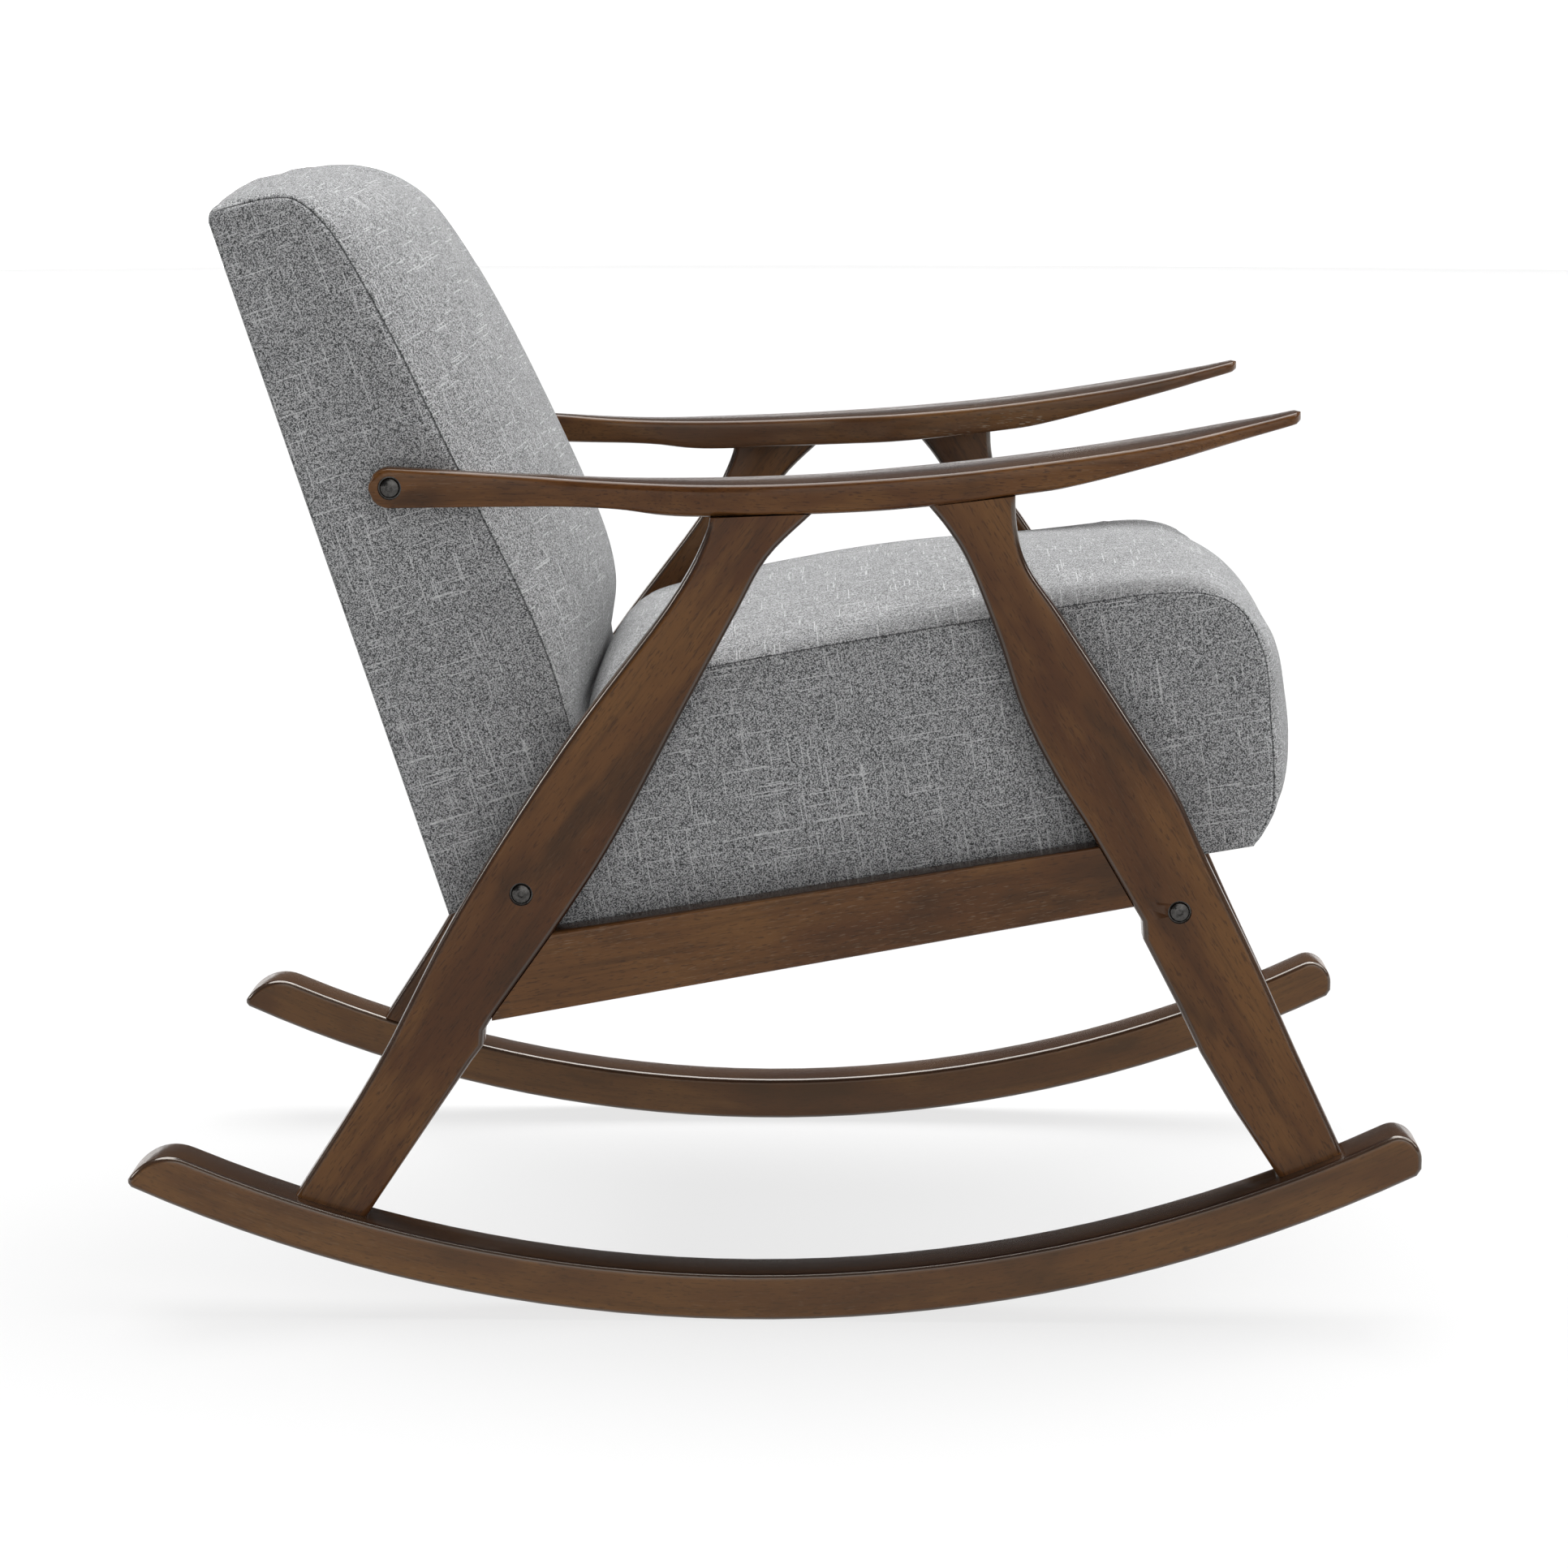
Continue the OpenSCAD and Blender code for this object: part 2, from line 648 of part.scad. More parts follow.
rocker_right();
rocker_left();
rear_leg_right();
rear_leg_left();
front_leg_right();
front_leg_left();
side_rail_right();
side_rail_left();
arm_right();
arm_left();
foot_dowels();
arm_dowels();
rail_dowels();
front_stretcher();
seat_side_rail_right();
seat_side_rail_left();
seat_front_rail();
seat_rear_rail();
seat_corner_blocks();
seat_webbing();
seat_foam();
seat_cover();
seat_dust_cover();
back_stile_right();
back_stile_left();
back_top_rail();
back_bottom_rail();
back_webbing();
back_foam();
back_cover();
front_bolts();
rear_bolts();
arm_bolts();
bolt_washers();
threaded_inserts();
stretcher_screws();
back_screws();
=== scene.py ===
"""The looks of the upholstered rocking chair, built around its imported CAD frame. Metres, in the row frame."""
import json
import math

import bmesh
import bpy
import numpy as np
from mathutils import Matrix, Vector
from mathutils.bvhtree import BVHTree
from mathutils.geometry import delaunay_2d_cdt


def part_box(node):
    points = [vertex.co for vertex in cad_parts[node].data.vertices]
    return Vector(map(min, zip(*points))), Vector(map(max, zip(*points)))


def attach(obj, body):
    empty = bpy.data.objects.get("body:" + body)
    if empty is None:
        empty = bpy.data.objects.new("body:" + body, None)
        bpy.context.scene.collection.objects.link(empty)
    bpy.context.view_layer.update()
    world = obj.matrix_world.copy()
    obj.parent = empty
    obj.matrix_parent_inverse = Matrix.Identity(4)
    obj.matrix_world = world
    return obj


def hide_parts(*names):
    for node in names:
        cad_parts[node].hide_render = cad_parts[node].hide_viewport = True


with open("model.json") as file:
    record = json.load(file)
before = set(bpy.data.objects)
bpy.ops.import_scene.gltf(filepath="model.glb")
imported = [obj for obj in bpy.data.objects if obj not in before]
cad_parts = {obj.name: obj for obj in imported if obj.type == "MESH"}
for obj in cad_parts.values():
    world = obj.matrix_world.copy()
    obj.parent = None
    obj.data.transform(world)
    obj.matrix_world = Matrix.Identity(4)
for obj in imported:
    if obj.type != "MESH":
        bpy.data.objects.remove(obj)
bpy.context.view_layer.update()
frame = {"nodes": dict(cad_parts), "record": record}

NODES = frame["nodes"]
SIDES = ("right", "left")
MM = 0.001

# The curve that the runners roll on: an arc about an X axis, above the line where they touch the floor
RUNNER_RADIUS = 1160 * MM
CONTACT_Y = 16 * MM
RUNNER_CENTRE = Vector((0, CONTACT_Y, RUNNER_RADIUS))

# The cushions' own frames: an origin on the middle plane and a backward lean.
# Their outlines are measured forward and up in these frames.
SEAT_ORIGIN = Vector((0, CONTACT_Y - 6 * MM, 300 * MM))
SEAT_LEAN = math.radians(9.8)
BACK_ORIGIN = Vector((0, CONTACT_Y + 236 * MM, 305 * MM))
BACK_LEAN = math.radians(18)
SEAT_HALF = 268 * MM
BACK_HALF = 248 * MM


# ---- small helpers ----

def add_mesh(name, verts, faces):
    mesh = bpy.data.meshes.new(name)
    mesh.from_pydata([tuple(v) for v in verts], [], faces)
    mesh.update()
    obj = bpy.data.objects.new(name, mesh)
    bpy.context.scene.collection.objects.link(obj)
    return obj


def shade_smooth(obj, sharp_above):
    obj.data.polygons.foreach_set("use_smooth", [True] * len(obj.data.polygons))
    obj.data.set_sharp_from_angle(angle=math.radians(sharp_above))


def store(obj, name, vectors, domain="POINT"):
    layer = obj.data.attributes.new(name, "FLOAT_VECTOR", domain)
    layer.data.foreach_set("vector", np.asarray(vectors, np.float32).ravel())


def store_value(obj, name, values):
    layer = obj.data.attributes.new(name, "FLOAT", "POINT")
    layer.data.foreach_set("value", values)


def coordinates(obj):
    co = np.zeros(len(obj.data.vertices) * 3)
    obj.data.vertices.foreach_get("co", co)
    return co.reshape(-1, 3)


def finished(obj, material, slot, *nodes):
    obj.data.materials.clear()
    obj.data.materials.append(material)
    if nodes:
        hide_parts(*nodes)
    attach(obj, "root")
    return obj


# ---- shader helpers ----

class Shader:
    """A material's node tree, with one call for each node."""

    def __init__(self, name):
        self.material = bpy.data.materials.new(name)
        self.material.use_nodes = True
        self.tree = self.material.node_tree
        self.surface = self.tree.nodes["Principled BSDF"]

    def put(self, socket, value):
        if isinstance(value, bpy.types.NodeSocket):
            self.tree.links.new(value, socket)
        elif isinstance(value, tuple) and len(value) == 3 and socket.type == "RGBA":
            socket.default_value = (*value, 1)
        else:
            socket.default_value = value

    def add(self, kind, output=0, settings=(), **inputs):
        node = self.tree.nodes.new(kind)
        for key, value in dict(settings).items():
            setattr(node, key, value)
        for key, value in inputs.items():
            self.put(node.inputs[int(key[1:])] if key[1:].isdigit() else node.inputs[key], value)
        return node.outputs[output]

    def attribute(self, name, output="Vector"):
        return self.add("ShaderNodeAttribute", output, {"attribute_name": name})

    def stretched(self, vector, scale):
        return self.add("ShaderNodeVectorMath", 0, {"operation": "MULTIPLY"}, _0=vector, _1=scale)

    def noise(self, vector, scale, detail=2, roughness=0.5):
        return self.add("ShaderNodeTexNoise", "Fac", {}, Vector=self.stretched(vector, scale), Scale=1,
                        Detail=detail, Roughness=roughness)

    def math(self, operation, a, b=0.0, c=0.0):
        return self.add("ShaderNodeMath", 0, {"operation": operation}, _0=a, _1=b, _2=c)

    def ramp(self, factor, low, high, to_low=0.0, to_high=1.0):
        return self.add("ShaderNodeMapRange", 0, {"interpolation_type": "SMOOTHSTEP"}, _0=factor, _1=low,
                        _2=high, _3=to_low, _4=to_high)

    def mix(self, factor, a, b):
        return self.add("ShaderNodeMix", 2, {"data_type": "RGBA"}, _0=factor, _6=a, _7=b)

    def choose(self, factor, a, b):
        return self.add("ShaderNodeMix", 0, {"data_type": "FLOAT"}, _0=factor, _2=a, _3=b)

    def bump(self, height, distance, strength):
        return self.add("ShaderNodeBump", 0, {}, Height=height, Distance=distance, Strength=strength)

    def finish(self, **inputs):
        for key, value in inputs.items():
            self.put(self.surface.inputs[key.replace("_", " ")], value)
        return self.material


# ---- materials ----

def walnut():
    """Dark stain and semi-gloss lacquer over open-pored wood, its grain along the attribute's first axis.

    Other attributes say where each part's tone is painted paler as painted light, where the pores are open and
    where an edge is rounded. Rounded edges and upward faces get painted shade."""
    s = Shader("walnut_stained_wood")
    grain = s.attribute("grain")
    drift = s.noise(grain, (2.5, 14, 14), detail=3)
    clouds = s.noise(grain, (7, 22, 22), detail=3, roughness=0.6)
    streaks = s.noise(grain, (6, 170, 170), detail=5, roughness=0.65)
    fine = s.noise(grain, (24, 900, 900), detail=3, roughness=0.6)
    tone = s.mix(s.ramp(drift, 0.38, 0.62), (0.054, 0.0190, 0.0068), (0.090, 0.0370, 0.0115))
    tone = s.mix(s.ramp(clouds, 0.46, 0.66, 0, 0.7), tone, (0.118, 0.052, 0.0155))
    tone = s.mix(s.ramp(clouds, 0.46, 0.30, 0, 0.8), tone, (0.030, 0.0125, 0.0055))
    tone = s.mix(s.ramp(streaks, 0.48, 0.70, 0, 0.5), tone, (0.032, 0.0130, 0.0050))
    tone = s.mix(s.ramp(fine, 0.56, 0.72, 0, 0.45), tone, (0.022, 0.0090, 0.0045))
    fleck = s.ramp(s.noise(grain, (130, 800, 800), detail=1), 0.60, 0.68)
    tone = s.mix(s.math("MULTIPLY", fleck, 0.55), tone, (0.020, 0.0085, 0.0045))
    # Painted light: each part's tone is mixed paler by its own share
    painted_light = s.attribute("painted_light", "Fac")
    tone = s.mix(painted_light, tone, (0.150, 0.095, 0.055))
    open_patch = s.ramp(s.noise(grain, (4, 9, 9), detail=1), 0.50, 0.62)
    dash = s.ramp(s.noise(grain, (110, 1100, 1100), detail=1), 0.62, 0.69)
    open_grain = s.attribute("open_grain", "Fac")
    pore = s.math("MULTIPLY", s.math("MULTIPLY", dash, open_patch), open_grain)
    tone = s.mix(pore, tone, (0.24, 0.19, 0.14))
    height = s.math("SUBTRACT", s.math("MULTIPLY", streaks, 0.5), pore)
    # Painted shade: faces that point up are mixed darker the more they face up, whatever the lamps do
    facing = s.add("ShaderNodeNewGeometry", "Normal")
    upward = s.add("ShaderNodeSeparateXYZ", 2, {}, _0=facing)
    tone = s.mix(s.ramp(upward, 0.6, 0.95, 0, 0.6), tone, (0.012, 0.0055, 0.0035))
    # Painted shade: the rounded edges are mixed darker; the same attribute also makes them glossier
    edge = s.attribute("edge", "Fac")
    tone = s.mix(s.math("MULTIPLY", edge, 0.7), tone, (0.010, 0.0040, 0.003))
    rough = s.ramp(streaks, 0.3, 0.7, 0.15, 0.24)
    return s.finish(Base_Color=tone, Roughness=rough, Normal=s.bump(height, 0.0002, 0.3),
                    Specular_IOR_Level=s.ramp(edge, 0, 1, 0.22, 0.75), Specular_Tint=(1.0, 0.93, 0.84))


def frame_wood():
    """Sawn, unfinished softwood of the hidden frames."""
    s = Shader("pale_frame_wood")
    where = s.add("ShaderNodeTexCoord", "Object")
    rings = s.noise(where, (60, 6, 60), detail=4)
    tone = s.mix(s.ramp(rings, 0.35, 0.65), (0.62, 0.42, 0.22), (0.42, 0.26, 0.12))
    fuzz = s.noise(where, (900, 60, 900), detail=2)
    return s.finish(Base_Color=tone, Roughness=s.ramp(fuzz, 0.3, 0.7, 0.62, 0.8),
                    Normal=s.bump(fuzz, 0.0004, 0.5))


THREAD = 0.8 * MM


def linen():
    """Heathered linen weave with slubs. The attribute holds distances along the two thread directions."""
    s = Shader("grey_linen")
    threads = s.stretched(s.attribute("weave"), (1 / THREAD, 1 / THREAD, 1.0))
    u = s.add("ShaderNodeSeparateXYZ", 0, {}, _0=threads)
    v = u.node.outputs[1]
    warp_number, weft_number = s.math("FLOOR", u), s.math("FLOOR", v)

    def along_threads(number, along, stretch, seed, detail):
        own = s.add("ShaderNodeTexWhiteNoise", "Value", {"noise_dimensions": "1D"},
                    W=s.math("ADD", number, seed))
        place = s.add("ShaderNodeCombineXYZ", 0, {}, X=s.math("MULTIPLY", own, 500.0),
                      Y=s.math("MULTIPLY", along, stretch), Z=seed)
        return s.noise(place, (1, 1, 1), detail=detail, roughness=0.7)

    weft_on_top = s.math("MODULO", s.math("ABSOLUTE", s.math("ADD", warp_number, weft_number)), 2.0)
    warp = along_threads(warp_number, v, 0.7, 3.25, 2)
    weft = along_threads(weft_number, u, 0.7, 8.25, 2)
    thread = s.choose(weft_on_top, warp, weft)
    tone = s.mix(s.ramp(thread, 0.44, 0.56), (0.035, 0.0365, 0.038), (0.392, 0.395, 0.398))
    slub_u = s.ramp(along_threads(warp_number, v, 0.014, 21.25, 1), 0.68, 0.70)
    slub_v = s.ramp(along_threads(weft_number, u, 0.014, 34.25, 1), 0.68, 0.70)
    slub = s.math("MAXIMUM", slub_u, slub_v)
    tone = s.mix(s.math("MULTIPLY", slub, 0.45), tone, (0.62, 0.623, 0.627))
    clouds = s.noise(s.attribute("weave"), (14, 14, 14), detail=3)
    tone = s.mix(s.ramp(clouds, 0.35, 0.65, 0.0, 0.08), tone, (0.09, 0.092, 0.096))
    # Painted shade: the seams' grooves are mixed dark by the seam attribute
    seam = s.attribute("seam", "Fac")
    tone = s.mix(seam, tone, (0.022, 0.023, 0.025))
    round_u = s.math("ABSOLUTE", s.math("SINE", s.math("MULTIPLY", u, math.pi)))
    round_v = s.math("ABSOLUTE", s.math("SINE", s.math("MULTIPLY", v, math.pi)))
    height = s.choose(weft_on_top, round_u, round_v)
    height = s.math("MULTIPLY_ADD", slub, 0.3, height)
    return s.finish(Base_Color=tone, Roughness=0.92, Normal=s.bump(height, 0.0004, 0.5),
                    Sheen_Weight=0.1, Sheen_Roughness=0.5, Specular_IOR_Level=0.2)


def foam():
    s = Shader("foam")
    where = s.add("ShaderNodeTexCoord", "Object")
    cells = s.noise(where, (700, 700, 700), detail=3)
    tone = s.mix(s.ramp(cells, 0.35, 0.65), (0.80, 0.70, 0.42), (0.90, 0.84, 0.60))
    return s.finish(Base_Color=tone, Roughness=0.95, Normal=s.bump(cells, 0.001, 0.6))


def black_cloth():
    s = Shader("black_cloth")
    where = s.add("ShaderNodeTexCoord", "Object")
    fibres = s.noise(where, (500, 900, 500), detail=3)
    tone = s.mix(s.ramp(fibres, 0.35, 0.65), (0.010, 0.010, 0.011), (0.035, 0.035, 0.038))
    return s.finish(Base_Color=tone, Roughness=0.9, Normal=s.bump(fibres, 0.0004, 0.5))


def metal(name, dark, light, roughness):
    s = Shader(name)
    where = s.add("ShaderNodeTexCoord", "Object")
    marks = s.noise(where, (400, 400, 400), detail=4)
    tone = s.mix(s.ramp(marks, 0.35, 0.65), dark, light)
    rough = s.ramp(marks, 0.3, 0.7, roughness - 0.08, roughness + 0.08)
    return s.finish(Base_Color=tone, Metallic=1.0, Roughness=rough, Normal=s.bump(marks, 0.00005, 0.3))


WALNUT = walnut()
LINEN = linen()
FRAME_WOOD = frame_wood()
FOAM = foam()
BLACK_CLOTH = black_cloth()
BOLT_METAL = metal("dark_bolt_metal", (0.045, 0.043, 0.041), (0.075, 0.072, 0.069), 0.26)
ZINC = metal("zinc_plated_steel", (0.50, 0.51, 0.53), (0.70, 0.71, 0.73), 0.35)


# ---- grain ----

def straight_grain(obj, start, end, seed):
    """Grain that runs from start to end, both (y, z) in the side view."""
    along = Vector((0, end[0] - start[0], end[1] - start[1])).normalized()
    across = Vector((0, -along.z, along.y))
    co = coordinates(obj)
    store(obj, "grain", np.stack([co @ np.array(along), co @ np.array(across), co[:, 0]], 1) + seed)


# How much painted light makes each part's tone paler, standing in for light the lamps don't give, and how open
# its pores are, both 0 to 1
PAINTED_LIGHT_AND_PORES = {"runner": (0.22, 0.08), "leg": (0.03, 0.04), "rail": (0.05, 0.2),
         "arm_left": (0.12, 0.8), "arm_right": (0.0, 0.1)}


def set_painted_light_and_pores(obj, part):
    for name, value in zip(("painted_light", "open_grain"), PAINTED_LIGHT_AND_PORES[part]):
        store_value(obj, name, [value] * len(obj.data.vertices))


def curved_grain(obj, seed):
    """Grain that follows the runner's curve."""
    away = coordinates(obj) - np.array(RUNNER_CENTRE)
    along = np.arctan2(away[:, 1], -away[:, 2]) * RUNNER_RADIUS
    store(obj, "grain", np.stack([along, np.hypot(away[:, 1], away[:, 2]), away[:, 0]], 1) + seed)


# ---- flat wooden parts: the CAD shape with rounded long edges ----

# Narrow faces smaller than this, in square metres, are taken as facets of a bore, and their edges stay sharp
BORE_FACE = 18e-6
RUNNER_ROUND = 5 * MM
LEG_ROUND = 6 * MM
RAIL_ROUND = 4 * MM
BEVEL_STEPS = 6
RUNNER_CUT = math.radians(0.75)
# The X part of a face's normal: more than the first on a board's broad faces, less than the second on its
# narrow faces. A vertex whose faces are all between the last two is on a rounded edge.
BROAD, NARROW = 0.95, 0.3
ROUNDED_FROM, ROUNDED_TO = 0.08, 0.985


def cut_across(bm, centre, spacing):
    """Cuts a curved part into short lengths with planes through the line along X at centre."""
    turns = [math.atan2(v.co.y - centre.y, centre.z - v.co.z) for v in bm.verts]
    for i in range(math.ceil(min(turns) / spacing), math.floor(max(turns) / spacing) + 1):
        q = i * spacing
        bmesh.ops.bisect_plane(bm, geom=bm.verts[:] + bm.edges[:] + bm.faces[:], dist=1e-6, plane_co=centre,
                               plane_no=(0, math.cos(q), math.sin(q)))


def rounded_part(node, radius, is_end=None):
    """Copies a CAD node that was cut from a flat board, and rounds the edges of its two broad faces.

    is_end tells by its normal whether a narrow face is an end, whose edges stay sharp. The runners have no
    such end, and are cut into short lengths so that they shade evenly."""
    bm = bmesh.new()
    bm.from_mesh(NODES[node].data)
    bmesh.ops.remove_doubles(bm, verts=bm.verts, dist=1e-5)
    bmesh.ops.dissolve_limit(bm, angle_limit=math.radians(0.2), verts=bm.verts, edges=bm.edges)
    bm.normal_update()
    long_edges = []
    for edge in bm.edges:
        if len(edge.link_faces) != 2:
            continue
        broad = [f for f in edge.link_faces if abs(f.normal.x) > BROAD]
        narrow = [f for f in edge.link_faces if abs(f.normal.x) < NARROW]
        if not broad or not narrow or narrow[0].calc_area() < BORE_FACE:
            continue
        if is_end is None or not is_end(narrow[0].normal):
            long_edges.append(edge)
    bmesh.ops.bevel(bm, geom=long_edges, offset=radius, offset_type="OFFSET", segments=BEVEL_STEPS,
                    profile=0.5, affect="EDGES", clamp_overlap=False, loop_slide=True)
    bm.normal_update()
    # The edge attribute marks the rounded edges, which the wood darkens as painted shade
    edge_layer = bm.verts.layers.float.new("edge")
    for vert in bm.verts:
        across = [abs(f.normal.x) for f in vert.link_faces if f.calc_area() > 1e-9]
        rounded = across and all(ROUNDED_FROM < a < ROUNDED_TO for a in across)
        vert[edge_layer] = 1.0 if rounded else 0.0
    if is_end is None:
        cut_across(bm, RUNNER_CENTRE, RUNNER_CUT)
    mesh = bpy.data.meshes.new(node + "_shaped")
    bm.to_mesh(mesh)
    bm.free()
    obj = bpy.data.objects.new(node + "_shaped", mesh)
    bpy.context.scene.collection.objects.link(obj)
    shade_smooth(obj, sharp_above=28)
    return obj


def near_level(normal):
    return abs(normal.z) > 0.8


def near_upright(normal):
    return abs(normal.z) < 0.85


def make_side_frames():
    for k, side in enumerate(SIDES):
        runner = rounded_part("rocker_" + side, RUNNER_ROUND)
        curved_grain(runner, seed=2.3 * k)
        set_painted_light_and_pores(runner, "runner")
        finished(runner, WALNUT, "walnut_stained_wood", "rocker_" + side)
        for part, slope in (("rear_leg_", -1), ("front_leg_", 1)):
            low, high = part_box(part + side)
            leg = rounded_part(part + side, LEG_ROUND, near_level)
            foot, top = (high.y, low.y) if slope < 0 else (low.y, high.y)
            straight_grain(leg, (foot, low.z), (top, high.z), seed=5.1 * k + slope)
            set_painted_light_and_pores(leg, "leg")
            finished(leg, WALNUT, "walnut_stained_wood", part + side)
        low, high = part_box("side_rail_" + side)
        rail = rounded_part("side_rail_" + side, RAIL_ROUND, near_upright)
        rise = (high.y - low.y) * math.tan(SEAT_LEAN)
        straight_grain(rail, (high.y, low.z), (low.y, low.z + rise), seed=3.7 * k + 9)
        set_painted_light_and_pores(rail, "rail")
        finished(rail, WALNUT, "walnut_stained_wood", "side_rail_" + side)


# ---- arms: lofted along their length from the CAD arm's own width and thickness ----

ARM_STATIONS = 110
ARM_CORNER = 5.5 * MM
ARM_CHAMFER = 9 * MM
ARM_END_CHAMFER = 2.5 * MM
ARM_END_ROUND = 3 * MM
ARM_BULGE = 0.196
ARM_GRAIN_SEED = {"left": 4.4, "right": 7.9}
# Places along X where rays straight up and down meet the arm's wood, at its rear and at its tip
ARM_REAR_X = 259 * MM
ARM_TIP_X = 258 * MM
ARM_REAR_FROM_Y = 100 * MM
# The chamfer grows to its full size as the arm widens from the plate at its rear, and less where it is thin
ARM_PLATE_WIDTH = 24 * MM
ARM_WIDENING = 30 * MM
ARM_FULL_THICKNESS = 24 * MM
# The plate's outer face, the bolt's counterbore in it, and how far from the bolt the rays are clear of it
ARM_FACE_X = 269 * MM
COUNTERBORE_RADIUS = 9 * MM
COUNTERBORE_DEPTH = 4.5 * MM
CLEAR_OF_BOLT = 20 * MM
# Where the rays start: far off to the side or above, or below the arms
FAR = 2.0
UNDER_ARM = 0.5


def arm_section(outer, inner, top, bottom, chamfer):
    """A section as (x, z) points: three rounded corners and a bulging chamfer at the lower outer one."""
    room = 0.48 * min(outer - inner, top - bottom)
    r = min(ARM_CORNER, room)
    cut = min(chamfer, 1.6 * room)
    points = []
    for cx, cz, start in ((outer - r, top - r, 0), (inner + r, top - r, 90), (inner + r, bottom + r, 180)):
        for i in range(7):
            q = math.radians(start + 15 * i)
            points.append((cx + r * math.cos(q), cz + r * math.sin(q)))
    for i in range(9):
        q = i / 8
        bulge = ARM_BULGE * cut * math.sin(math.pi * q)
        points.append((outer - cut * (1 - q) + bulge, bottom + cut * q - bulge))
    return points


def cast(tree, origin, direction):
    return tree.ray_cast(Vector(origin), Vector(direction))[0]


def top_and_bottom(tree, x, y):
    return cast(tree, (x, y, FAR), (0, 0, -1)).z, cast(tree, (x, y, UNDER_ARM), (0, 0, 1)).z


def make_arm(side):
    """An arm lofted through sections whose height and width are measured on the CAD arm."""
    node = "arm_" + side
    sign = 1 if side == "left" else -1
    low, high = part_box(node)
    tree = BVHTree.FromObject(NODES[node], bpy.context.evaluated_depsgraph_get())
    bolt_low, bolt_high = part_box("arm_bolts")
    bolt_z = (bolt_low.z + bolt_high.z) / 2
    bolt_y = (bolt_low.y + bolt_high.y) / 2
    verts = []
    for i in range(ARM_STATIONS + 1):
        # Sections stand closer together towards both ends, and the first and last are just inside them
        q = i / ARM_STATIONS
        spread = 0.5 - 0.5 * math.cos(math.pi * (0.02 + 0.96 * q))
        y = high.y + (low.y - high.y) * (0.5 * spread + 0.5 * (0.0006 + 0.9988 * q))
        x = sign * (ARM_REAR_X if y > ARM_REAR_FROM_Y else ARM_TIP_X)
        top, bottom = top_and_bottom(tree, x, y)
        clear_y = min(y, bolt_y - CLEAR_OF_BOLT)
        if y < bolt_y - CLEAR_OF_BOLT:
            middle = (top + bottom) / 2
        else:
            middle = sum(top_and_bottom(tree, sign * ARM_REAR_X, clear_y)) / 2
        outer = abs(cast(tree, (sign * FAR, clear_y, middle), (-sign, 0, 0)).x)
        inner = abs(cast(tree, (0, clear_y, middle), (sign, 0, 0)).x)
        widen = min(1, max(0, (outer - inner - ARM_PLATE_WIDTH) / ARM_WIDENING))
        thin = min(1, max(0.35, (top - bottom) / ARM_FULL_THICKNESS))
        chamfer = ARM_END_CHAMFER + (ARM_CHAMFER - ARM_END_CHAMFER) * widen * thin
        from_end = min(y - low.y, high.y - y)
        if from_end < ARM_END_ROUND:
            ease = ARM_END_ROUND - math.sqrt(max(0, ARM_END_ROUND ** 2 - (ARM_END_ROUND - from_end) ** 2))
            level = min(ease, 0.3 * (top - bottom))
            outer, inner, top, bottom = outer - ease, inner + ease, top - level, bottom + level
        verts += [(sign * px, y, pz) for px, pz in arm_section(outer, inner, top, bottom, chamfer)]
    count = len(verts) // (ARM_STATIONS + 1)
    faces = [list(range(count))[::-1], list(range(ARM_STATIONS * count, (ARM_STATIONS + 1) * count))]
    for i in range(ARM_STATIONS):
        for j in range(count):
            a, b = i * count + j, i * count + (j + 1) % count
            faces.append((a, b, b + count, a + count))
    arm = add_mesh(node + "_shaped", verts, faces)
    fix_normals(arm)
    drill(arm, (sign * ARM_FACE_X, bolt_y, bolt_z), COUNTERBORE_RADIUS, COUNTERBORE_DEPTH)
    shade_smooth(arm, sharp_above=32)
    co = coordinates(arm)
    store(arm, "grain", np.stack([co[:, 1], co[:, 0], co[:, 2]], 1) + ARM_GRAIN_SEED[side])
    set_painted_light_and_pores(arm, node)
    finished(arm, WALNUT, "walnut_stained_wood", node)


def fix_normals(obj):
    bm = bmesh.new()
    bm.from_mesh(obj.data)
    bmesh.ops.recalc_face_normals(bm, faces=bm.faces)
    bm.to_mesh(obj.data)
    bm.free()


def drill(obj, centre, radius, depth):
    """Cuts a round hole along X into the face at centre, with a cutter that stands out of it by depth too."""
    bm = bmesh.new()
    bmesh.ops.create_cone(bm, cap_ends=True, segments=48, radius1=radius, radius2=radius, depth=2 * depth)
    turn = Matrix.Translation(centre) @ Matrix.Rotation(math.pi / 2, 4, "Y")
    bmesh.ops.transform(bm, matrix=turn, verts=bm.verts)
    mesh = bpy.data.meshes.new("drill")
    bm.to_mesh(mesh)
    bm.free()
    cutter = bpy.data.objects.new("drill", mesh)
    bpy.context.scene.collection.objects.link(cutter)
    cut = obj.modifiers.new("bore", "BOOLEAN")
    cut.object = cutter
    cut.solver = "EXACT"
    made = bpy.data.meshes.new_from_object(obj.evaluated_get(bpy.context.evaluated_depsgraph_get()))
    obj.modifiers.clear()
    obj.data = made
    bpy.data.objects.remove(cutter)


# ---- cushions ----

def smooth_run(points, steps):
    """A Catmull-Rom curve through the points, without its last point."""
    p = [np.array(q, float) for q in points]
    out = []
    for i in range(len(p) - 1):
        a, b, c, d = p[max(i - 1, 0)], p[i], p[i + 1], p[min(i + 2, len(p) - 1)]
        for k in range(steps):
            t = k / steps
            out.append(0.5 * (2 * b + t * (c - a) + t * t * (2 * a - 5 * b + 4 * c - d)
                              + t ** 3 * (3 * b - a - 3 * c + d)))
    return out


def outline(runs, steps):
    """A closed outline in metres from runs of millimetre points. Each run ends where the next starts."""
    out = []
    for run, n in zip(runs, steps):
        out += smooth_run(run, n)
    return np.array(out) * MM


